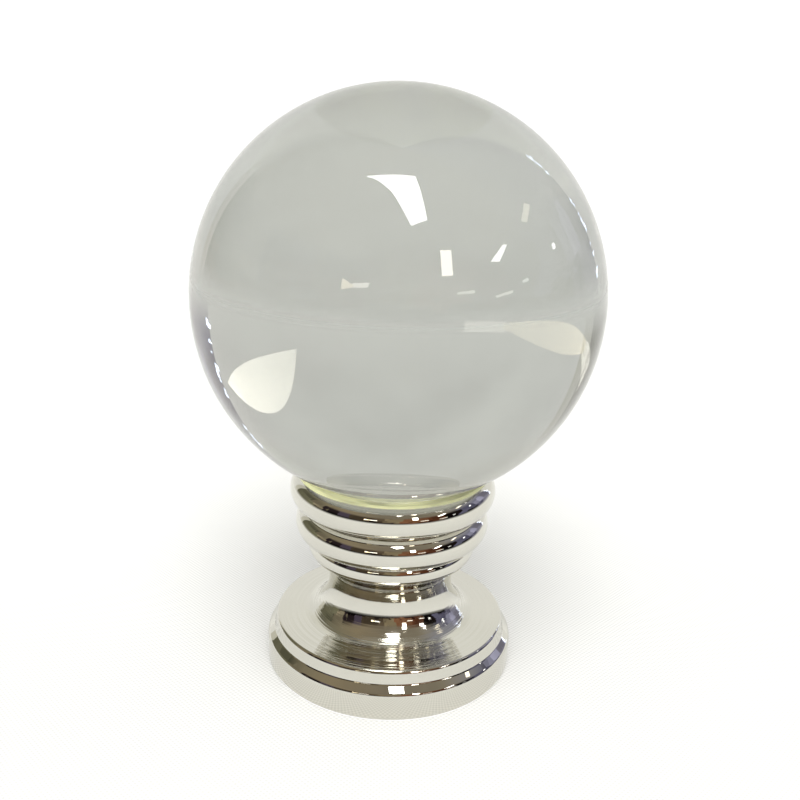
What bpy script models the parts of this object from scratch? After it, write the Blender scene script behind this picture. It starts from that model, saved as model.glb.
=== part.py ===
"""Lamp shade finial: a clear crystal ball standing on a turned, plated metal base.

The axis of turning is Z. The origin is the centre of the base's flat underside.
Lengths are in metres, each written once below as a number of millimetres.
"""
import math

import bpy
import bmesh

MM = 0.001

# Crystal ball
BALL_DIAMETER = 35.0 * MM
BALL_SEGMENTS = 48
BALL_RINGS = 24

# Foot: a plain cylinder with a chamfered shoulder, and a plate of less diameter on it.
# The plate's wall leans in a little, from the shoulder's top to the plate's rounded edge.
FOOT_DIAMETER = 23.0 * MM
FOOT_HEIGHT = 2.5 * MM
FOOT_EDGE = 0.2 * MM
SHOULDER_DIAMETER = 21.7 * MM
SHOULDER_HEIGHT = 0.6 * MM
PLATE_DIAMETER = 21.4 * MM
PLATE_HEIGHT = 1.2 * MM
PLATE_EDGE = 0.35 * MM

# The plate's upper face, turned a little hollow, and the fillet that carries it to the waist
FACE_SLOPE = math.radians(4.0)
FILLET_RADIUS = 1.8 * MM

# Waist: one wide hollow curve from the lowest bead's underside down to the fillet
NECK_DIAMETER = 11.5 * MM
WAIST_RADIUS = 3.7 * MM
WAIST_TURN = math.radians(50.0)
WAIST_TO_LOWER_BEAD = 3.62 * MM

# Three half-round beads, lowest first: each has a diameter over all and a section radius
LOWER_BEAD_DIAMETER = 15.4 * MM
LOWER_BEAD_RADIUS = 1.15 * MM
MIDDLE_BEAD_DIAMETER = 17.7 * MM
MIDDLE_BEAD_RADIUS = 1.62 * MM
UPPER_BEAD_DIAMETER = 18.7 * MM
UPPER_BEAD_RADIUS = 1.66 * MM
# How far two neighbouring beads run into each other, which sets the groove between them
LOWER_GROOVE_BITE = 0.44 * MM
UPPER_GROOVE_BITE = 0.1 * MM

# Spherical seat for the ball, cut into the upper bead
SEAT_GAP = 0.3 * MM
SEAT_BITE = 0.58 * MM

# Blind socket in the underside, for the threaded stud at the top of a lamp harp
SOCKET_DIAMETER = 6.0 * MM
SOCKET_DEPTH = 8.0 * MM
SOCKET_CHAMFER = 0.4 * MM

# Fineness of the turned base
TURN_STEPS = 48
BEAD_STEPS = 8
WAIST_STEPS = 12
FILLET_STEPS = 4
SEAT_STEPS = 6
EDGE_STEPS = 3
MERGE_DISTANCE = 0.00001

# Linear colours
CRYSTAL_COLOUR = (0.86, 0.89, 0.85, 1.0)
PLATE_METAL_COLOUR = (0.78, 0.77, 0.74, 1.0)


def clear_scene():
    """Remove whatever the file opened with."""
    for thing in list(bpy.data.objects):
        bpy.data.objects.remove(thing, do_unlink=True)


def arc(centre, radius, start, end, steps):
    """Points (radius, height) on a circle's arc, from the start angle to the end angle."""
    points = []
    for i in range(steps + 1):
        angle = start + (end - start) * i / steps
        point = (centre[0] + radius * math.cos(angle), centre[1] + radius * math.sin(angle))
        points.append(point)
    return points


def angle_at(centre, point):
    """The angle of a point seen from a centre, from minus to plus half a turn."""
    return math.atan2(point[1] - centre[1], point[0] - centre[0])


def meetings(centre_a, radius_a, centre_b, radius_b):
    """The two points where circles of the profile cross, the one nearer the axis first."""
    across = centre_b[0] - centre_a[0]
    up = centre_b[1] - centre_a[1]
    apart = math.hypot(across, up)
    along = (radius_a ** 2 - radius_b ** 2 + apart ** 2) / (2.0 * apart)
    aside = math.sqrt(max(radius_a ** 2 - along ** 2, 0.0))
    middle = (centre_a[0] + along * across / apart, centre_a[1] + along * up / apart)
    one = (middle[0] + aside * up / apart, middle[1] - aside * across / apart)
    two = (middle[0] - aside * up / apart, middle[1] + aside * across / apart)
    return sorted((one, two))


def fillet_layout():
    """Centre of the fillet's circle: it meets the plate's face and the waist's curve smoothly."""
    turned_in = NECK_DIAMETER / 2 + WAIST_RADIUS * (1.0 - math.cos(WAIST_TURN))
    centre_radius = turned_in + FILLET_RADIUS * math.cos(WAIST_TURN)
    face_radius = centre_radius - FILLET_RADIUS * math.sin(FACE_SLOPE)
    plate_top = FOOT_HEIGHT + SHOULDER_HEIGHT + PLATE_HEIGHT
    rise = (PLATE_DIAMETER / 2 - PLATE_EDGE - face_radius) * math.tan(FACE_SLOPE)
    return (centre_radius, plate_top + rise + FILLET_RADIUS * math.cos(FACE_SLOPE))


def waist_centre():
    """Centre of the waist's hollow curve."""
    step = WAIST_RADIUS - FILLET_RADIUS
    fillet = fillet_layout()
    return (fillet[0] + step * math.cos(WAIST_TURN), fillet[1] + step * math.sin(WAIST_TURN))


def bead_layout():
    """(centre, section radius) of each bead, lowest first."""
    lower_level = waist_centre()[1] + WAIST_TO_LOWER_BEAD
    middle_level = lower_level + LOWER_BEAD_RADIUS + MIDDLE_BEAD_RADIUS - LOWER_GROOVE_BITE
    upper_level = middle_level + MIDDLE_BEAD_RADIUS + UPPER_BEAD_RADIUS - UPPER_GROOVE_BITE
    lower = ((LOWER_BEAD_DIAMETER / 2 - LOWER_BEAD_RADIUS, lower_level), LOWER_BEAD_RADIUS)
    middle = ((MIDDLE_BEAD_DIAMETER / 2 - MIDDLE_BEAD_RADIUS, middle_level), MIDDLE_BEAD_RADIUS)
    upper = ((UPPER_BEAD_DIAMETER / 2 - UPPER_BEAD_RADIUS, upper_level), UPPER_BEAD_RADIUS)
    return lower, middle, upper


def ball_centre():
    """The ball's centre (radius 0, height): its seat bites into the upper bead."""
    upper_centre, upper_radius = bead_layout()[2]
    reach = BALL_DIAMETER / 2 + SEAT_GAP + upper_radius - SEAT_BITE
    return (0.0, upper_centre[1] + math.sqrt(reach ** 2 - upper_centre[0] ** 2))


def bead_arc(bead, start, end, steps=BEAD_STEPS):
    """A bead's outside from one point of the profile to another."""
    centre, radius = bead
    return arc(centre, radius, angle_at(centre, start), angle_at(centre, end), steps)


def base_profile():
    """Half section of the base, from the middle of the seat down its outside to the socket."""
    lower, middle, upper = bead_layout()
    ball = ball_centre()
    waist = waist_centre()
    seat_radius = BALL_DIAMETER / 2 + SEAT_GAP
    rim = meetings(ball, seat_radius, *upper)[1]
    upper_groove = meetings(*upper, *middle)[1]
    lower_groove = meetings(*middle, *lower)[1]
    under_bead = meetings(*lower, waist, WAIST_RADIUS)[0]

    seat = arc(ball, seat_radius, -math.pi / 2, angle_at(ball, rim), SEAT_STEPS)
    beads = bead_arc(upper, rim, upper_groove)[1:]
    beads += bead_arc(middle, upper_groove, lower_groove)[1:]
    beads += bead_arc(lower, lower_groove, under_bead)[1:]

    face_angle = math.pi * 1.5 - FACE_SLOPE
    waist_curve = arc(
        waist, WAIST_RADIUS, angle_at(waist, under_bead), math.pi + WAIST_TURN, WAIST_STEPS
    )[1:]
    fillet = arc(fillet_layout(), FILLET_RADIUS, math.pi + WAIST_TURN, face_angle, FILLET_STEPS)[1:]

    plate_radius = PLATE_DIAMETER / 2
    foot_radius = FOOT_DIAMETER / 2
    shoulder_top = FOOT_HEIGHT + SHOULDER_HEIGHT
    edge_centre = (plate_radius - PLATE_EDGE, shoulder_top + PLATE_HEIGHT - PLATE_EDGE)
    plate_edge = arc(edge_centre, PLATE_EDGE, math.pi / 2, 0.0, EDGE_STEPS)
    foot = [
        (SHOULDER_DIAMETER / 2, shoulder_top),
        (foot_radius, FOOT_HEIGHT),
        (foot_radius, FOOT_EDGE),
        (foot_radius - FOOT_EDGE, 0.0),
    ]
    socket_radius = SOCKET_DIAMETER / 2
    socket = [
        (socket_radius + SOCKET_CHAMFER, 0.0),
        (socket_radius, SOCKET_CHAMFER),
        (socket_radius, SOCKET_DEPTH),
        (0.0, SOCKET_DEPTH),
    ]
    return seat + beads + waist_curve + fillet + plate_edge + foot + socket


def principled(name, colour, metallic, roughness, transmission=0.0):
    """A plain Principled material."""
    material = bpy.data.materials.new(name)
    material.use_nodes = True
    shader = material.node_tree.nodes["Principled BSDF"]
    shader.inputs["Base Color"].default_value = colour
    shader.inputs["Metallic"].default_value = metallic
    shader.inputs["Roughness"].default_value = roughness
    shader.inputs["Transmission Weight"].default_value = transmission
    return material


def place(name, mesh, material):
    """Put a mesh in the scene as one named object."""
    mesh.materials.append(material)
    thing = bpy.data.objects.new(name, mesh)
    bpy.context.scene.collection.objects.link(thing)
    return thing


def make_turned_base():
    """The plated metal base, its half section turned about Z."""
    profile = base_profile()
    mesh = bpy.data.meshes.new("turned_base")
    points = [(radius, 0.0, height) for radius, height in profile]
    mesh.from_pydata(points, [(i, i + 1) for i in range(len(points) - 1)], [])
    metal = principled("plated_metal", PLATE_METAL_COLOUR, metallic=1.0, roughness=0.06)
    base = place("turned_base", mesh, metal)
    turn = base.modifiers.new("turn", "SCREW")
    turn.axis = "Z"
    turn.angle = math.tau
    turn.steps = TURN_STEPS
    turn.render_steps = TURN_STEPS
    turn.use_merge_vertices = True
    turn.merge_threshold = MERGE_DISTANCE
    turn.use_smooth_shade = True
    return base


def make_crystal_ball():
    """The solid clear ball, sitting in the base's seat."""
    mesh = bpy.data.meshes.new("crystal_ball")
    shape = bmesh.new()
    bmesh.ops.create_uvsphere(
        shape, u_segments=BALL_SEGMENTS, v_segments=BALL_RINGS, radius=BALL_DIAMETER / 2
    )
    shape.to_mesh(mesh)
    shape.free()
    mesh.shade_smooth()
    crystal = principled("clear_crystal", CRYSTAL_COLOUR, metallic=0.0, roughness=0.0, transmission=1.0)
    ball = place("crystal_ball", mesh, crystal)
    ball.location = (0.0, 0.0, ball_centre()[1])
    return ball


def main():
    clear_scene()
    make_turned_base()
    make_crystal_ball()


main()
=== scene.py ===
"""Looks of a lamp shade finial: a clear crystal ball on a turned, plated brass base."""
import math
import random

import bmesh
import bpy
from mathutils import Matrix, Vector


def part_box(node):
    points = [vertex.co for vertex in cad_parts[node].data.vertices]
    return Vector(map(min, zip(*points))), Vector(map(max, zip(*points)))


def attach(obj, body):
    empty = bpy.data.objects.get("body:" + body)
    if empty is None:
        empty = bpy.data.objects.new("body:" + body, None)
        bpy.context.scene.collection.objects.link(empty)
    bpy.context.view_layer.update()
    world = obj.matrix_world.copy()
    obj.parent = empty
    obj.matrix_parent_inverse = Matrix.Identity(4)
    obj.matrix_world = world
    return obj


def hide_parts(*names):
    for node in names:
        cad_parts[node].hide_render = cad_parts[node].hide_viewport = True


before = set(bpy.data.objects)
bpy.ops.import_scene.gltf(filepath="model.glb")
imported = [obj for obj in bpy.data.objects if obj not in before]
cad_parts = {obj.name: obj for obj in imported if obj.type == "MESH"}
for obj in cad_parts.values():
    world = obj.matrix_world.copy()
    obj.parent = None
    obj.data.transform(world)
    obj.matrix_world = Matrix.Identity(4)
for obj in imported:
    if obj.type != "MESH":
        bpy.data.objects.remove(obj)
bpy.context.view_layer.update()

MM = 0.001

# Turned base, from the foot up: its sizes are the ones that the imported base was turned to
FOOT_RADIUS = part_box("turned_base")[1].x
FOOT_HEIGHT = 2.5 * MM
FOOT_EDGE = 0.2 * MM
SHOULDER_RADIUS = 10.85 * MM
SHOULDER_HEIGHT = 0.6 * MM
# How far buffing has cut back each corner, from the shoulder's top down to the underside
CORNER_CUTS = (0.12 * MM, 0.25 * MM, 0.08 * MM, 0.08 * MM)
PLATE_RADIUS = 10.7 * MM
PLATE_HEIGHT = 1.2 * MM
PLATE_EDGE = 0.35 * MM
SHOULDER_TOP = FOOT_HEIGHT + SHOULDER_HEIGHT
PLATE_TOP = SHOULDER_TOP + PLATE_HEIGHT
FACE_SLOPE = math.radians(4.0)
FILLET_RADIUS = 1.8 * MM
NECK_RADIUS = 5.75 * MM
WAIST_RADIUS = 3.7 * MM
WAIST_TURN = math.radians(50.0)
WAIST_TO_LOWER_BEAD = 3.62 * MM

# Beads: (radius over all, section radius), and how far neighbours run together
LOWER_BEAD = (7.7 * MM, 1.15 * MM)
MIDDLE_BEAD = (8.85 * MM, 1.62 * MM)
UPPER_BEAD = (9.35 * MM, 1.66 * MM)
LOWER_GROOVE_BITE = 0.44 * MM
UPPER_GROOVE_BITE = 0.1 * MM

# Ball and its seat, the ball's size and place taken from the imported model
BALL_LOW, BALL_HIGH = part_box("crystal_ball")
BALL_RADIUS = (BALL_HIGH.z - BALL_LOW.z) / 2
BALL_CENTRE_Z = (BALL_HIGH.z + BALL_LOW.z) / 2
SEAT_GAP = 0.3 * MM

# Socket in the underside, with the thread of a harp's stud: 27 turns to the inch
SOCKET_RADIUS = 3.0 * MM
SOCKET_DEPTH = 8.0 * MM
SOCKET_CHAMFER = 0.4 * MM
THREAD_PITCH = 25.4 / 27 * MM
THREAD_DEPTH = 0.36 * MM
THREAD_END = 7.5 * MM
THREAD_ROWS_PER_TURN = 8

# Fineness of the turned shapes: steps of a whole turn, and of each curve of the half section
TURN_STEPS = 288
SEAT_STEPS = 24
BEAD_STEPS = 40
LOWER_BEAD_STEPS = 36
WAIST_STEPS = 60
FILLET_STEPS = 20
PLATE_EDGE_STEPS = 12
CORNER_STEPS = 4
BALL_STEPS = 160
MERGE_DISTANCE = 0.0001 * MM
SHARP_ANGLE = math.radians(30)

# Finish of the metal: roughness of the buffed parts, and what the waist and the face add to it
METAL_COLOUR = "#d2d0c7"
BUFFED_ROUGHNESS = 0.02
WAIST_ROUGHNESS = 0.035
FACE_ROUGHNESS = 0.03
# Heights up to which each of the two reaches, and where both begin, under the plate's top
WAIST_FINISH_TOP = 10.0 * MM
FACE_FINISH_TOP = 6.2 * MM
FINISH_FADE = 1.0 * MM
FINISH_START = (0.15 * MM, 0.05 * MM)
# How far a highlight is drawn out, and the quarter turn that lays it across the turning marks
ANISOTROPY = 0.85
ANISOTROPY_TURN = 0.25
# Turning marks on the plate's face
TURNING_PITCH = 0.32 * MM
TURNING_DEPTH = 0.03 * MM

# Glue in the seat: painted glow for the light that the ball gathers on it, as a share of full white
GLUE_PAINTED_GLOW = 0.45
GLUE_ROUGHNESS = 0.3
# The painted glow is patchy: the size of a patch, and the share that the dullest one keeps
GLUE_PATCH = 2.5 * MM
GLUE_DULLEST = 0.25
# How far the glue reaches out past the seat's rim and down from it, and its soft edge
GLUE_SPREAD = 0.3 * MM
GLUE_DEPTH = 2.6 * MM
GLUE_EDGE = 0.1 * MM
# The glue turns from nearly clear to yellow between these distances inside the rim
GLUE_CLEAR_INSIDE = 5.5 * MM
GLUE_YELLOW_INSIDE = 3.5 * MM
# Toward the right, between these places on X, the painted glow falls to this share
GLUE_DIM_START = 2.0 * MM
GLUE_DIM_END = 6.0 * MM
GLUE_DIM_SHARE = 0.2
# Clear and yellow glue: its colour, and the colour of its painted glow
GLUE_COLOURS = ("#e9e9e2", "#f6f6c8")
GLUE_PAINTED_GLOW_COLOURS = ("#d6d6cc", "#f2f2b0")

CRYSTAL_COLOUR = "#bcbeba"
CRYSTAL_IOR = 1.56

# Weave of the tabletop's fine cloth, which the foot's bright band mirrors
WEAVE_PITCH = 0.456 * MM
# A square of the weave is fully light or dark where the product of its two sines passes this
WEAVE_EDGE = 0.6
WEAVE_COLOURS = ("#e2e2df", "#f6f6f4")
# Faint clouds in the cloth's shade: their size, and the darkest one's share of full light
CLOUD_SIZE = 45.0 * MM
CLOUD_DARKEST = 0.93
# The tabletop's size, and the width of the rim on which it fades away
TABLE_RADIUS = 330.0 * MM
TABLE_FADE = 90.0 * MM
TABLE_STEPS = 96

# Studio: bearing in degrees from the front, toward the right, and the colour from there on.
# EDGE is just above the tabletop, LOW the room over it, and HIGH the ceiling, whose colours run
# into one another.
STUDIO_EDGE = [
    (-180, "#f3f3ef"), (-134, "#cfcdc0"), (-127, "#66644f"), (-95, "#4a4438"), (-80, "#120d0b"),
    (-40, "#1d1512"), (0, "#2a1f19"), (20, "#2a1610"), (60, "#0c0908"), (95, "#5f5d74"),
    (112, "#8b8a9e"), (132, "#f3f3ef"),
]
STUDIO_LOW = [
    (-180, "#f3f3ef"), (-134, "#d3d1c4"), (-127, "#6c6a57"), (-98, "#8f8570"), (-80, "#33292c"),
    (-60, "#5c5262"), (-45, "#554a3c"), (-12, "#7a6e58"), (14, "#74503a"), (40, "#5e3a28"),
    (62, "#15100e"), (80, "#5d5c72"), (98, "#a0a0ba"), (118, "#7a7888"), (132, "#f3f3ef"),
]
STUDIO_HIGH = [
    (-180, "#f3f3ef"), (-136, "#ecebe2"), (-120, "#7c7967"), (-60, "#94876f"), (0, "#82796a"),
    (60, "#8d8575"), (95, "#97979f"), (128, "#9a9aa6"), (134, "#f2f2ea"), (180, "#f3f3ef"),
]
# Near the tabletop's level every row fades to the tabletop's own colour
STUDIO_FOOT = "#fafaf6"
STUDIO_STRENGTH = 1.12
# Levels are sines of the rise: where every row begins, EDGE gives way to LOW, and LOW to HIGH
FOOT_LEVELS = (-0.12, 0.09)
EDGE_LEVEL = 0.12
HIGH_LEVELS = (0.40, 0.58)
# Clutter in front: cells for each radian, how unevenly they lie, and how far each one turns,
# lifts and shades the rows
CLUTTER_CELLS = 4.0
CLUTTER_DISORDER = 0.9
CLUTTER_TURN = 0.15
CLUTTER_LIFT = 0.07
CLUTTER_SHADES = (-0.55, 0.5)
# It sets in between these, where -1 is straight behind the finial and 1 straight in front
CLUTTER_START = (-0.55, -0.35)
# Faint clouds over the whole room: how many, and the darkest and the lightest one's factor
HAZE_SCALE = 2.5
HAZE_SHADES = (0.92, 1.06)

# Lamps and windows, at LAMP_DISTANCE from the ball: radiance, colour, corners (bearing, rise)
LAMP_DISTANCE = 1.2
LAMPS = {
    "ceiling_window": (14.0, "#fffefa", [
        (-44.0, 68.2), (-28.5, 68.2), (-10.6, 63.8), (-1.0, 56.6), (7.0, 45.7), (18.6, 48.4),
        (19.0, 56.8), (18.9, 67.2), (18.8, 72.1),
    ]),
    "side_window": (12.0, "#fff8ea", [(23.2, 33.1), (29.6, 32.5), (28.5, 20.5), (22.5, 20.5)]),
    "right_window": (12.0, "#fffefa", [(61.9, 30.0), (64.2, 29.1), (56.1, 23.2), (51.1, 24.3)]),
    "far_right_window": (3.0, "#fff6e0", [(93.5, 38.9), (95.9, 36.4), (85.2, 33.0), (81.6, 34.8)]),
    "far_right_lamp": (9.0, "#ffffff", [(94.5, 20.5), (97.0, 20.5), (96.5, 18.5), (94.0, 18.5)]),
    "left_lamp": (5.0, "#fffaf0", [(-23.6, 15.8), (-15.2, 16.9), (-15.6, 14.4), (-23.6, 13.6)]),
    "left_window": (5.0, "#ffefcc", [(-22.6, 14.8), (-29.5, 17.5), (-29.5, 12.0), (-23.0, 14.0)]),
    "low_lamp": (3.5, "#fffaf0", [(30.0, 12.4), (39.1, 12.7), (39.1, 11.3), (30.0, 11.2)]),
    "low_right_lamp": (3.5, "#fffaf0", [(50.8, 9.0), (60.5, 10.0), (60.5, 8.8), (50.8, 7.8)]),
    "small_right_lamp": (3.5, "#ffffff", [(67.5, 13.0), (71.5, 13.4), (71.5, 12.2), (67.5, 11.8)]),
}
# Glints down the edge of a window at the right, in degrees as the lamps are: how many, the
# bearing, how far one is shifted from it at random, the slant of its lower edge, the rises that
# they start between, and how wide and high they are
GLINT_COUNT = 18
GLINT_RADIANCE = 6.0
GLINT_COLOUR = "#d6e2ff"
GLINT_BEARING = 131.0
GLINT_SHIFT = 0.8
GLINT_SLANT = 0.4
GLINT_RISES = (-3.0, 38.0)
GLINT_WIDTHS = (0.6, 2.6)
GLINT_HEIGHTS = (0.5, 2.6)
GLINT_SEED = 4

# The sun that lights the tabletop: its strength, its width and its tilt from straight above
SUN_STRENGTH = 2.1
SUN_WIDTH = math.radians(40)
SUN_TILT = math.radians(32)

# Camera, from the ellipses of the foot, the plate and the ball in the photograph
CAMERA_DISTANCE = 87.04 * MM
CAMERA_ELEVATION = math.radians(32.86)
CAMERA_PITCH = math.radians(15.91)
CAMERA_YAW = math.radians(-0.30)
CAMERA_ROLL = math.radians(-1.68)
FOCAL_PIXELS = 860.0
IMAGE_PIXELS = 800.0
SENSOR = 36.0
NEAREST_SEEN = 5.0 * MM
FARTHEST_SEEN = 10.0


def hex_colour(code):
    """An sRGB hex colour as a linear RGBA value."""
    channels = [int(code[i:i + 2], 16) / 255.0 for i in (1, 3, 5)]
    linear = [c / 12.92 if c <= 0.04045 else ((c + 0.055) / 1.055) ** 2.4 for c in channels]
    return (*linear, 1.0)


def add_node(tree, kind, settings=None, links=None):
    """Add a node. Settings are attributes, or values of sockets by name or number."""
    node = tree.nodes.new(kind)
    for name, value in (settings or {}).items():
        if isinstance(name, int) or name in node.inputs:
            node.inputs[name].default_value = value
        else:
            setattr(node, name, value)
    for name, source in (links or {}).items():
        tree.links.new(source, node.inputs[name])
    return node


def maths(tree, operation, *values, kind="ShaderNodeMath"):
    """A Math node's result. Each value is a number or a socket."""
    node = add_node(tree, kind, {"operation": operation})
    for socket, value in zip(node.inputs, values):
        if isinstance(value, (int, float)):
            socket.default_value = value
        else:
            tree.links.new(value, socket)
    return node.outputs[0]


def band(tree, value, start, end, low=0.0, high=1.0, soft=False):
    """A number that runs from low to high while the value runs from start to end."""
    return add_node(
        tree, "ShaderNodeMapRange",
        {"interpolation_type": "SMOOTHSTEP" if soft else "LINEAR",
         "From Min": start, "From Max": end, "To Min": low, "To Max": high},
        {"Value": value},
    ).outputs["Result"]


def blend(tree, factor, first, second):
    """A mix of two colours. Each is a hex code or a socket."""
    node = add_node(tree, "ShaderNodeMix", {"data_type": "RGBA"}, {0: factor})
    for number, colour in ((6, first), (7, second)):
        if isinstance(colour, str):
            node.inputs[number].default_value = hex_colour(colour)
        else:
            tree.links.new(colour, node.inputs[number])
    return node.outputs[2]


def scaled(tree, colour, factor):
    """A colour made lighter or darker by a factor."""
    return add_node(
        tree, "ShaderNodeVectorMath", {"operation": "SCALE"}, {0: colour, "Scale": factor}
    ).outputs["Vector"]


def arc(centre, radius, start, end, steps):
    """Points (radius, height) on a circle's arc, angles in radians."""
    points = []
    for i in range(steps + 1):
        angle = start + (end - start) * i / steps
        points.append((centre[0] + radius * math.cos(angle), centre[1] + radius * math.sin(angle)))
    return points


def meetings(centre_a, radius_a, centre_b, radius_b):
    """The two points where circles of the profile cross, the one nearer the axis first."""
    across, up = centre_b[0] - centre_a[0], centre_b[1] - centre_a[1]
    apart = math.hypot(across, up)
    along = (radius_a ** 2 - radius_b ** 2 + apart ** 2) / (2.0 * apart)
    aside = math.sqrt(max(radius_a ** 2 - along ** 2, 0.0))
    middle = (centre_a[0] + along * across / apart, centre_a[1] + along * up / apart)
    one = (middle[0] + aside * up / apart, middle[1] - aside * across / apart)
    two = (middle[0] - aside * up / apart, middle[1] + aside * across / apart)
    return sorted((one, two))


def angle_at(centre, point):
    """The angle of a point seen from a centre."""
    return math.atan2(point[1] - centre[1], point[0] - centre[0])


def bead_arc(bead, start, end, steps):
    """A bead's outside from one point of the profile to another."""
    centre, radius = bead
    return arc(centre, radius, angle_at(centre, start), angle_at(centre, end), steps)


def softened(before, corner, after, cut):
    """A corner of the profile as buffing leaves it, cut back by one length on both sides."""
    before, corner, after = Vector(before), Vector(corner), Vector(after)
    start = corner + (before - corner).normalized() * cut
    end = corner + (after - corner).normalized() * cut
    points = []
    for i in range(CORNER_STEPS + 1):
        t = i / CORNER_STEPS
        points.append(tuple(start * (1.0 - t) ** 2 + corner * 2.0 * t * (1.0 - t) + end * t ** 2))
    return points


def base_layout():
    """(centre, radius) of the three beads from the lowest, and the waist's and fillet's centres."""
    turned_in = NECK_RADIUS + WAIST_RADIUS * (1.0 - math.cos(WAIST_TURN))
    fillet_r = turned_in + FILLET_RADIUS * math.cos(WAIST_TURN)
    face_r = fillet_r - FILLET_RADIUS * math.sin(FACE_SLOPE)
    rise = (PLATE_RADIUS - PLATE_EDGE - face_r) * math.tan(FACE_SLOPE)
    fillet = (fillet_r, PLATE_TOP + rise + FILLET_RADIUS * math.cos(FACE_SLOPE))
    step = WAIST_RADIUS - FILLET_RADIUS
    waist = (fillet[0] + step * math.cos(WAIST_TURN), fillet[1] + step * math.sin(WAIST_TURN))

    lower_z = waist[1] + WAIST_TO_LOWER_BEAD
    middle_z = lower_z + LOWER_BEAD[1] + MIDDLE_BEAD[1] - LOWER_GROOVE_BITE
    upper_z = middle_z + MIDDLE_BEAD[1] + UPPER_BEAD[1] - UPPER_GROOVE_BITE
    lower = ((LOWER_BEAD[0] - LOWER_BEAD[1], lower_z), LOWER_BEAD[1])
    middle = ((MIDDLE_BEAD[0] - MIDDLE_BEAD[1], middle_z), MIDDLE_BEAD[1])
    upper = ((UPPER_BEAD[0] - UPPER_BEAD[1], upper_z), UPPER_BEAD[1])
    return lower, middle, upper, waist, fillet


def seat_rim():
    """The point (radius, height) where the ball's seat meets the upper bead."""
    upper = base_layout()[2]
    return meetings((0.0, BALL_CENTRE_Z), BALL_RADIUS + SEAT_GAP, *upper)[1]


def base_profile():
    """Half section of the base from the seat's middle down its outside to the socket's end.

    Also gives the places in the list of points that carry the screw thread.
    """
    lower, middle, upper, waist, fillet = base_layout()
    ball = (0.0, BALL_CENTRE_Z)
    rim = seat_rim()
    upper_groove = meetings(*upper, *middle)[1]
    lower_groove = meetings(*middle, *lower)[1]
    under_bead = meetings(*lower, waist, WAIST_RADIUS)[0]
    waist_start = angle_at(waist, under_bead)
    waist_end = math.pi + WAIST_TURN
    face_angle = math.pi * 1.5 - FACE_SLOPE
    plate_edge = (PLATE_RADIUS - PLATE_EDGE, PLATE_TOP - PLATE_EDGE)

    points = arc(ball, BALL_RADIUS + SEAT_GAP, -math.pi / 2, angle_at(ball, rim), SEAT_STEPS)
    points += bead_arc(upper, rim, upper_groove, BEAD_STEPS)[1:]
    points += bead_arc(middle, upper_groove, lower_groove, BEAD_STEPS)[1:]
    points += bead_arc(lower, lower_groove, under_bead, LOWER_BEAD_STEPS)[1:]
    points += arc(waist, WAIST_RADIUS, waist_start, waist_end, WAIST_STEPS)[1:]
    points += arc(fillet, FILLET_RADIUS, waist_end, face_angle, FILLET_STEPS)[1:]
    points += arc(plate_edge, PLATE_EDGE, math.pi / 2, 0.0, PLATE_EDGE_STEPS)
    foot = [
        points[-1],
        (SHOULDER_RADIUS, SHOULDER_TOP),
        (FOOT_RADIUS, FOOT_HEIGHT),
        (FOOT_RADIUS, FOOT_EDGE),
        (FOOT_RADIUS - FOOT_EDGE, 0.0),
        (SOCKET_RADIUS + SOCKET_CHAMFER, 0.0),
    ]
    for k, cut in enumerate(CORNER_CUTS):
        points += softened(*foot[k:k + 3], cut)
    points.append(foot[-1])

    first = len(points)
    thread_length = THREAD_END - SOCKET_CHAMFER
    rows = round(thread_length / THREAD_PITCH * THREAD_ROWS_PER_TURN)
    for k in range(rows + 1):
        points.append((SOCKET_RADIUS, SOCKET_CHAMFER + thread_length * k / rows))
    threaded = range(first, len(points))
    points += [(SOCKET_RADIUS, SOCKET_DEPTH), (0.0, SOCKET_DEPTH)]
    return points, threaded


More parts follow.
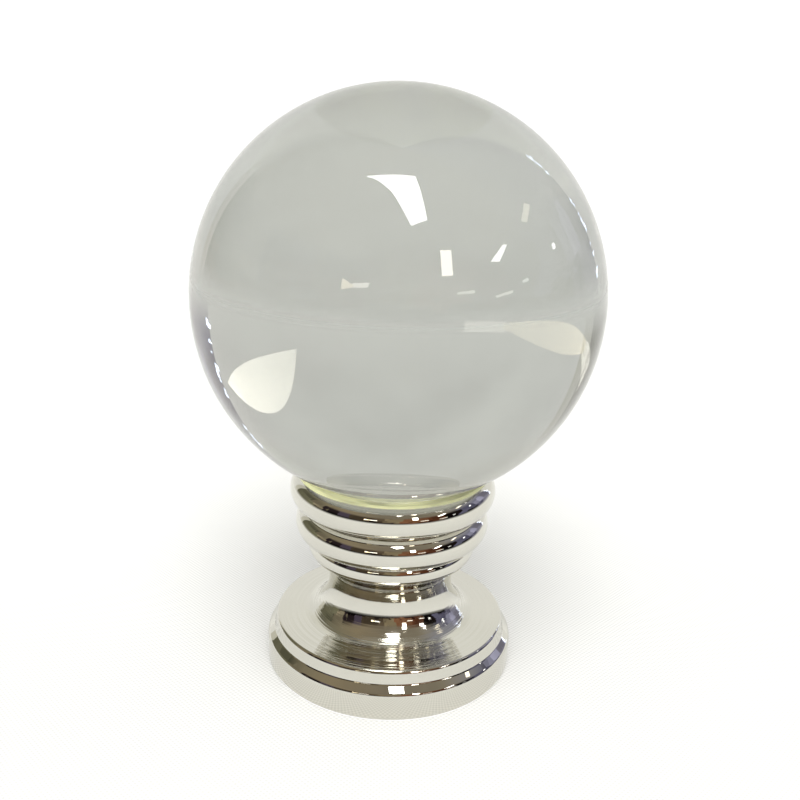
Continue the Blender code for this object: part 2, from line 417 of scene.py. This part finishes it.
def turning_tree():
    """Geometry Nodes tree: turns a half section about Z and cuts a thread where it is marked."""
    tree = bpy.data.node_groups.new("turning", "GeometryNodeTree")
    sockets = tree.interface
    sockets.new_socket("Turned", in_out="OUTPUT", socket_type="NodeSocketGeometry")
    sockets.new_socket("Half Section", in_out="INPUT", socket_type="NodeSocketGeometry")
    sockets.new_socket("Section Points", in_out="INPUT", socket_type="NodeSocketInt")
    sockets.new_socket("Steps", in_out="INPUT", socket_type="NodeSocketInt")
    sockets.new_socket("Thread Pitch", in_out="INPUT", socket_type="NodeSocketFloat")
    sockets.new_socket("Thread Depth", in_out="INPUT", socket_type="NodeSocketFloat")
    sockets.new_socket("Material", in_out="INPUT", socket_type="NodeSocketMaterial")
    given = tree.nodes.new("NodeGroupInput").outputs
    whole = "FunctionNodeIntegerMath"

    # One row of the grid for each point of the half section, one column for each step of the turn
    columns = maths(tree, "ADD", given["Steps"], 1, kind=whole)
    grid = add_node(
        tree, "GeometryNodeMeshGrid",
        links={"Vertices X": given["Section Points"], "Vertices Y": columns},
    ).outputs["Mesh"]
    place = add_node(tree, "GeometryNodeInputIndex").outputs[0]
    row = maths(tree, "DIVIDE_FLOOR", place, columns, kind=whole)
    column = maths(tree, "MODULO", place, columns, kind=whole)
    turn = maths(tree, "DIVIDE", column, given["Steps"])

    position = add_node(tree, "GeometryNodeInputPosition").outputs[0]
    on_section = add_node(
        tree, "GeometryNodeSampleIndex", {"data_type": "FLOAT_VECTOR"},
        {"Geometry": given["Half Section"], "Value": position, "Index": row},
    ).outputs[0]
    marked = add_node(
        tree, "GeometryNodeInputNamedAttribute", {"data_type": "FLOAT", "Name": "threaded"}
    ).outputs[0]
    marked = add_node(
        tree, "GeometryNodeSampleIndex", {"data_type": "FLOAT"},
        {"Geometry": given["Half Section"], "Value": marked, "Index": row},
    ).outputs[0]
    parts = add_node(tree, "ShaderNodeSeparateXYZ", links={"Vector": on_section}).outputs

    # A right-hand thread: a ridge that climbs one pitch a turn
    phase = maths(tree, "DIVIDE", parts["Z"], given["Thread Pitch"])
    phase = maths(tree, "FRACT", maths(tree, "SUBTRACT", phase, turn))
    ridge = maths(tree, "ABSOLUTE", maths(tree, "MULTIPLY_ADD", phase, 2.0, -1.0))
    ridge = maths(tree, "MULTIPLY", maths(tree, "SUBTRACT", ridge, 0.5), given["Thread Depth"])
    radius = maths(tree, "MULTIPLY_ADD", ridge, marked, parts["X"])

    point = add_node(tree, "ShaderNodeCombineXYZ", links={"X": radius, "Z": parts["Z"]}).outputs[0]
    angle = maths(tree, "MULTIPLY", turn, math.tau)
    point = add_node(
        tree, "ShaderNodeVectorRotate", {"rotation_type": "Z_AXIS"},
        {"Vector": point, "Angle": angle},
    ).outputs[0]
    made = add_node(
        tree, "GeometryNodeSetPosition", links={"Geometry": grid, "Position": point}
    ).outputs[0]
    made = add_node(
        tree, "GeometryNodeMergeByDistance", {"Distance": MERGE_DISTANCE}, {"Geometry": made}
    ).outputs[0]
    made = add_node(tree, "GeometryNodeSetShadeSmooth", links={"Geometry": made}).outputs[0]
    made = add_node(tree, "GeometryNodeRealizeInstances", links={"Geometry": made}).outputs[0]
    made = add_node(
        tree, "GeometryNodeSetMaterial", links={"Geometry": made, "Material": given["Material"]}
    ).outputs[0]
    add_node(tree, "NodeGroupOutput", links={"Turned": made})
    return tree


def turned(name, tree, profile, material, threaded=()):
    """A closed mesh turned from a profile of (radius, height) points."""
    section = bpy.data.meshes.new(name)
    edges = [(k, k + 1) for k in range(len(profile) - 1)]
    section.from_pydata([(radius, 0.0, height) for radius, height in profile], edges, [])
    mark = section.attributes.new("threaded", "FLOAT", "POINT")
    for k in threaded:
        mark.data[k].value = 1.0
    thing = bpy.data.objects.new(name, section)
    bpy.context.scene.collection.objects.link(thing)
    modifier = thing.modifiers.new("turning", "NODES")
    modifier.node_group = tree
    values = {
        "Section Points": len(profile),
        "Steps": TURN_STEPS,
        "Thread Pitch": THREAD_PITCH,
        "Thread Depth": THREAD_DEPTH,
        "Material": material,
    }
    for socket in tree.interface.items_tree:
        if socket.in_out == "INPUT" and socket.name in values:
            modifier[socket.identifier] = values[socket.name]
    evaluated = thing.evaluated_get(bpy.context.evaluated_depsgraph_get())
    mesh = bpy.data.meshes.new_from_object(evaluated)
    thing.modifiers.remove(modifier)
    thing.data = mesh

    shape = bmesh.new()
    shape.from_mesh(mesh)
    bmesh.ops.recalc_face_normals(shape, faces=shape.faces)
    shape.to_mesh(mesh)
    shape.free()
    mesh.set_sharp_from_angle(angle=SHARP_ANGLE)
    return thing


def plated_metal():
    """Nickel under a flash of chrome on turned brass: a slightly warm, bright mirror.

    The beads are buffed. The waist is a little duller, and on the plate's face the turning marks
    still show: fine rings, which draw highlights out across them. Glue fills the seat up to its
    rim, with a painted glow, an emission in place of the light that the ball gathers on it.
    """
    material = bpy.data.materials.new("bright_plated_brass")
    material.use_nodes = True
    tree = material.node_tree
    shader = tree.nodes["Principled BSDF"]
    shader.inputs["Anisotropic"].default_value = ANISOTROPY
    shader.inputs["Anisotropic Rotation"].default_value = ANISOTROPY_TURN
    # The glue's emission is a painted glow for the light that the ball gathers on it
    shader.inputs["Emission Strength"].default_value = GLUE_PAINTED_GLOW

    where = add_node(tree, "ShaderNodeTexCoord").outputs["Object"]
    parts = add_node(tree, "ShaderNodeSeparateXYZ", links={"Vector": where}).outputs
    height = parts["Z"]
    across = add_node(
        tree, "ShaderNodeVectorMath", {"operation": "MULTIPLY", 1: (1.0, 1.0, 0.0)}, {0: where}
    ).outputs["Vector"]
    radius = add_node(
        tree, "ShaderNodeVectorMath", {"operation": "LENGTH"}, {0: across}
    ).outputs["Value"]

    above_wall = band(tree, height, PLATE_TOP - FINISH_START[0], PLATE_TOP - FINISH_START[1])
    below_beads = band(tree, height, WAIST_FINISH_TOP, WAIST_FINISH_TOP - FINISH_FADE)
    below_waist = band(tree, height, FACE_FINISH_TOP, FACE_FINISH_TOP - FINISH_FADE)
    on_waist = maths(tree, "MULTIPLY", above_wall, below_beads)
    on_face = maths(tree, "MULTIPLY", above_wall, below_waist)
    roughness = maths(tree, "MULTIPLY_ADD", on_waist, WAIST_ROUGHNESS, BUFFED_ROUGHNESS)
    roughness = maths(tree, "MULTIPLY_ADD", on_face, FACE_ROUGHNESS, roughness)

    along = maths(tree, "SUBTRACT", radius, height)
    marks = add_node(
        tree, "ShaderNodeTexNoise",
        {"noise_dimensions": "1D", "Scale": 1.0 / TURNING_PITCH, "Detail": 2.0},
        {"W": along},
    ).outputs[0]
    bump = add_node(
        tree, "ShaderNodeBump", {"Strength": 1.0, "Distance": TURNING_DEPTH},
        {"Height": maths(tree, "MULTIPLY", marks, on_face)},
    )
    tangent = add_node(tree, "ShaderNodeTangent", {"direction_type": "RADIAL", "axis": "Z"})

    rim_radius, rim_height = seat_rim()
    spread = rim_radius + GLUE_SPREAD
    bottom = rim_height - GLUE_DEPTH
    within = band(tree, radius, spread, spread - GLUE_EDGE)
    glued = maths(tree, "MULTIPLY", within, band(tree, height, bottom, bottom + GLUE_EDGE))
    patches = add_node(
        tree, "ShaderNodeTexNoise", {"Scale": 1.0 / GLUE_PATCH, "Detail": 2.0}, {"Vector": where}
    ).outputs[0]
    # Painted light on the glue: patchy, and dimmer toward the right
    bright = maths(tree, "MULTIPLY", glued, band(tree, patches, 0.35, 0.6, GLUE_DULLEST, 1.0))
    lit_side = band(tree, parts["X"], GLUE_DIM_END, GLUE_DIM_START, GLUE_DIM_SHARE, 1.0)
    bright = maths(tree, "MULTIPLY", bright, lit_side)
    roughness = maths(tree, "MULTIPLY_ADD", glued, GLUE_ROUGHNESS, roughness)

    # The glue is yellow where it is thick, at the rim, and nearly clear under the ball
    at_rim = band(tree, radius, rim_radius - GLUE_CLEAR_INSIDE, rim_radius - GLUE_YELLOW_INSIDE)
    glue = blend(tree, at_rim, *GLUE_COLOURS)
    glow = blend(tree, at_rim, *GLUE_PAINTED_GLOW_COLOURS)

    tree.links.new(blend(tree, glued, METAL_COLOUR, glue), shader.inputs["Base Color"])
    tree.links.new(maths(tree, "SUBTRACT", 1.0, glued), shader.inputs["Metallic"])
    tree.links.new(roughness, shader.inputs["Roughness"])
    tree.links.new(bump.outputs["Normal"], shader.inputs["Normal"])
    tree.links.new(tangent.outputs["Tangent"], shader.inputs["Tangent"])
    # Emission colour: the painted glow on the glue, black on the metal
    tree.links.new(blend(tree, bright, "#000000", glow), shader.inputs["Emission Color"])
    return material


def clear_crystal():
    """Cast and polished lead crystal: clear, with the faint grey-green of a thick piece."""
    material = bpy.data.materials.new("clear_crystal")
    material.use_nodes = True
    shader = material.node_tree.nodes["Principled BSDF"]
    shader.inputs["Base Color"].default_value = hex_colour(CRYSTAL_COLOUR)
    shader.inputs["Transmission Weight"].default_value = 1.0
    shader.inputs["Roughness"].default_value = 0.0
    shader.inputs["IOR"].default_value = CRYSTAL_IOR
    return material


def woven_cloth():
    """Matt white cloth, closely woven: its squares show in the foot's band and faintly close by.

    It fades out toward the tabletop's edge, so that the ball shows no hard line there.
    """
    material = bpy.data.materials.new("matt_white_cloth")
    material.use_nodes = True
    tree = material.node_tree
    shader = tree.nodes["Principled BSDF"]
    shader.inputs["Roughness"].default_value = 0.9
    shader.inputs["Specular IOR Level"].default_value = 0.1
    where = add_node(tree, "ShaderNodeTexCoord").outputs["Object"]
    parts = add_node(tree, "ShaderNodeSeparateXYZ", links={"Vector": where}).outputs
    warp = maths(tree, "SINE", maths(tree, "MULTIPLY", parts["X"], math.tau / WEAVE_PITCH))
    weft = maths(tree, "SINE", maths(tree, "MULTIPLY", parts["Y"], math.tau / WEAVE_PITCH))
    thread = band(tree, maths(tree, "MULTIPLY", warp, weft), -WEAVE_EDGE, WEAVE_EDGE)
    cloud = add_node(
        tree, "ShaderNodeTexNoise", {"Scale": 1.0 / CLOUD_SIZE, "Detail": 3.0}, {"Vector": where}
    ).outputs[0]
    shade = band(tree, cloud, 0.3, 0.7, CLOUD_DARKEST, 1.0)
    colour = scaled(tree, blend(tree, thread, *WEAVE_COLOURS), shade)
    tree.links.new(colour, shader.inputs["Base Color"])
    far = add_node(
        tree, "ShaderNodeVectorMath", {"operation": "LENGTH"}, {0: where}
    ).outputs["Value"]
    shown = band(tree, far, TABLE_RADIUS, TABLE_RADIUS - TABLE_FADE, soft=True)
    tree.links.new(shown, shader.inputs["Alpha"])
    return material


def dress(piece, slot, *nodes):
    """Hand a finished piece over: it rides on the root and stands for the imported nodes."""
    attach(piece, "root")
    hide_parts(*nodes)


def make_finial():
    """The turned base and the ball on it."""
    tree = turning_tree()
    profile, threaded = base_profile()
    base = turned("polished_base", tree, profile, plated_metal(), threaded)
    dress(base, "plated_metal", "turned_base")

    profile = arc((0.0, BALL_CENTRE_Z), BALL_RADIUS, math.pi / 2, -math.pi / 2, BALL_STEPS)
    profile[0] = (0.0, BALL_HIGH.z)
    profile[-1] = (0.0, BALL_LOW.z)
    ball = turned("polished_ball", tree, profile, clear_crystal())
    dress(ball, "clear_crystal", "crystal_ball")


def make_floor():
    """The tabletop around the finial, open under the foot so that its underside can be seen."""
    points = []
    for radius in (FOOT_RADIUS - FOOT_EDGE / 2, TABLE_RADIUS):
        for k in range(TABLE_STEPS):
            turn = math.tau * k / TABLE_STEPS
            points.append((radius * math.cos(turn), radius * math.sin(turn), 0.0))
    faces = []
    for k in range(TABLE_STEPS):
        after = (k + 1) % TABLE_STEPS
        faces.append((k, TABLE_STEPS + k, TABLE_STEPS + after, after))
    mesh = bpy.data.meshes.new("tabletop")
    mesh.from_pydata(points, [], faces)
    floor = bpy.data.objects.new("tabletop", mesh)
    bpy.context.scene.collection.objects.link(floor)
    mesh.materials.append(woven_cloth())


def make_camera():
    """The photograph's camera: aimed at the foot's centre, then pitched, turned and rolled."""
    toward = Vector((0.0, math.cos(CAMERA_ELEVATION), -math.sin(CAMERA_ELEVATION)))
    right = Vector((1.0, 0.0, 0.0))
    up = right.cross(toward)
    pitch = Matrix.Rotation(CAMERA_PITCH, 3, right)
    toward, up = pitch @ toward, pitch @ up
    yaw = Matrix.Rotation(CAMERA_YAW, 3, up)
    toward, right = yaw @ toward, yaw @ right
    roll = Matrix.Rotation(CAMERA_ROLL, 3, toward)
    right, up = roll @ right, roll @ up
    data = bpy.data.cameras.new("camera")
    data.sensor_width = SENSOR
    data.lens = SENSOR * FOCAL_PIXELS / IMAGE_PIXELS
    data.clip_start = NEAREST_SEEN
    data.clip_end = FARTHEST_SEEN
    camera = bpy.data.objects.new("camera", data)
    bpy.context.scene.collection.objects.link(camera)
    matrix = Matrix((right, up, -toward)).transposed().to_4x4()
    matrix.translation = (
        0.0,
        -CAMERA_DISTANCE * math.cos(CAMERA_ELEVATION),
        CAMERA_DISTANCE * math.sin(CAMERA_ELEVATION),
    )
    camera.matrix_world = matrix
    bpy.context.scene.camera = camera


def studio_row(tree, around, stops, interpolation="CONSTANT"):
    """Colours round the horizon, from (bearing, hex colour) stops."""
    ramp = add_node(tree, "ShaderNodeValToRGB", links={"Fac": around})
    ramp.color_ramp.interpolation = interpolation
    elements = ramp.color_ramp.elements
    for k, (bearing, code) in enumerate(stops):
        place = (bearing + 180.0) / 360.0
        element = elements[k] if k < 2 else elements.new(place)
        element.position = place
        element.color = hex_colour(code)
    return ramp.outputs["Color"]


def make_world():
    """A studio: white for the eye; for metal and crystal, pale behind and cluttered in front.

    The tabletop gets one even, neutral light from it.
    """
    world = bpy.data.worlds.new("studio")
    bpy.context.scene.world = world
    world.use_nodes = True
    tree = world.node_tree
    tree.nodes.clear()
    direction = add_node(tree, "ShaderNodeTexCoord").outputs["Generated"]
    parts = add_node(tree, "ShaderNodeSeparateXYZ", links={"Vector": direction}).outputs
    forward = maths(tree, "MULTIPLY", parts["Y"], -1.0)
    bearing = maths(tree, "ARCTAN2", parts["X"], forward)
    level = parts["Z"]
    in_front = band(tree, forward, *CLUTTER_START)

    # Square-edged clutter: each cell shifts the rows' colours and makes them lighter or darker
    spread = add_node(tree, "ShaderNodeCombineXYZ", links={"X": bearing, "Y": level}).outputs[0]
    cells = add_node(
        tree, "ShaderNodeTexVoronoi",
        {"voronoi_dimensions": "2D", "distance": "CHEBYCHEV", "Scale": CLUTTER_CELLS,
         "Randomness": CLUTTER_DISORDER},
        {"Vector": spread},
    ).outputs["Color"]
    cell = add_node(tree, "ShaderNodeSeparateColor", links={"Color": cells}).outputs
    turned_by = band(tree, cell["Red"], 0.0, 1.0, -CLUTTER_TURN, CLUTTER_TURN)
    turned_by = maths(tree, "MULTIPLY", turned_by, in_front)
    around = band(tree, maths(tree, "ADD", bearing, turned_by), -math.pi, math.pi)
    lifted_by = band(tree, cell["Green"], 0.0, 1.0, -CLUTTER_LIFT, CLUTTER_LIFT)
    above_edge = maths(tree, "GREATER_THAN", maths(tree, "ADD", level, lifted_by), EDGE_LEVEL)
    edge = studio_row(tree, around, STUDIO_EDGE)
    room = blend(tree, above_edge, edge, studio_row(tree, around, STUDIO_LOW))
    front_shade = band(tree, cell["Blue"], 0.0, 1.0, *CLUTTER_SHADES)
    room = scaled(tree, room, maths(tree, "MULTIPLY_ADD", front_shade, in_front, 1.0))

    ceiling = studio_row(
        tree, band(tree, bearing, -math.pi, math.pi), STUDIO_HIGH, interpolation="LINEAR"
    )
    room = blend(tree, band(tree, level, *HIGH_LEVELS, soft=True), room, ceiling)
    haze = add_node(
        tree, "ShaderNodeTexNoise", {"Scale": HAZE_SCALE, "Detail": 3.0}, {"Vector": direction}
    ).outputs[0]
    room = scaled(tree, room, band(tree, haze, 0.35, 0.65, *HAZE_SHADES))
    room = blend(tree, band(tree, level, *FOOT_LEVELS, soft=True), STUDIO_FOOT, room)

    ray = add_node(tree, "ShaderNodeLightPath").outputs
    seen = blend(tree, ray["Is Diffuse Ray"], room, "#dddddb")
    seen = blend(tree, ray["Is Camera Ray"], seen, "#ffffff")
    background = add_node(
        tree, "ShaderNodeBackground", {"Strength": STUDIO_STRENGTH}, {"Color": seen}
    )
    add_node(tree, "ShaderNodeOutputWorld", links={"Surface": background.outputs["Background"]})


def make_lamp(name, radiance, colour, corners):
    """A flat bright shape far off, made for what the metal and the crystal mirror of it."""
    material = bpy.data.materials.new(name)
    material.use_nodes = True
    tree = material.node_tree
    tree.nodes.clear()
    light = add_node(
        tree, "ShaderNodeEmission", {"Color": hex_colour(colour), "Strength": radiance}
    )
    add_node(tree, "ShaderNodeOutputMaterial", links={"Surface": light.outputs["Emission"]})
    points = []
    for bearing, rise in corners:
        turn, up = math.radians(bearing), math.radians(rise)
        points.append((
            LAMP_DISTANCE * math.sin(turn) * math.cos(up),
            -LAMP_DISTANCE * math.cos(turn) * math.cos(up),
            LAMP_DISTANCE * math.sin(up) + BALL_CENTRE_Z,
        ))
    mesh = bpy.data.meshes.new(name)
    mesh.from_pydata(points, [], [list(range(len(points)))])
    mesh.materials.append(material)
    lamp = bpy.data.objects.new(name, mesh)
    bpy.context.scene.collection.objects.link(lamp)
    lamp.visible_camera = False
    lamp.visible_diffuse = False
    lamp.visible_shadow = False


def make_lights():
    """The lamps for the highlights, and a wide soft sun that lights the tabletop evenly."""
    for name, (radiance, colour, corners) in LAMPS.items():
        make_lamp(name, radiance, colour, corners)
    chance = random.Random(GLINT_SEED)
    for k in range(GLINT_COUNT):
        low = chance.uniform(*GLINT_RISES)
        high = low + chance.uniform(*GLINT_HEIGHTS)
        left = GLINT_BEARING + chance.uniform(-GLINT_SHIFT, GLINT_SHIFT)
        right = left + chance.uniform(*GLINT_WIDTHS)
        corners = [(left, low), (right, low + GLINT_SLANT), (right, high), (left, high)]
        make_lamp(f"window_glint_{k + 1}", GLINT_RADIANCE, GLINT_COLOUR, corners)
    data = bpy.data.lights.new("soft_top_light", "SUN")
    data.energy = SUN_STRENGTH
    data.angle = SUN_WIDTH
    lamp = bpy.data.objects.new("soft_top_light", data)
    bpy.context.scene.collection.objects.link(lamp)
    lamp.rotation_euler = (SUN_TILT, 0.0, 0.0)
    lamp.visible_glossy = False
    lamp.visible_transmission = False
    lamp.visible_camera = False


make_camera()
make_floor()
make_finial()
make_world()
make_lights()
bpy.context.scene.view_settings.view_transform = "Standard"
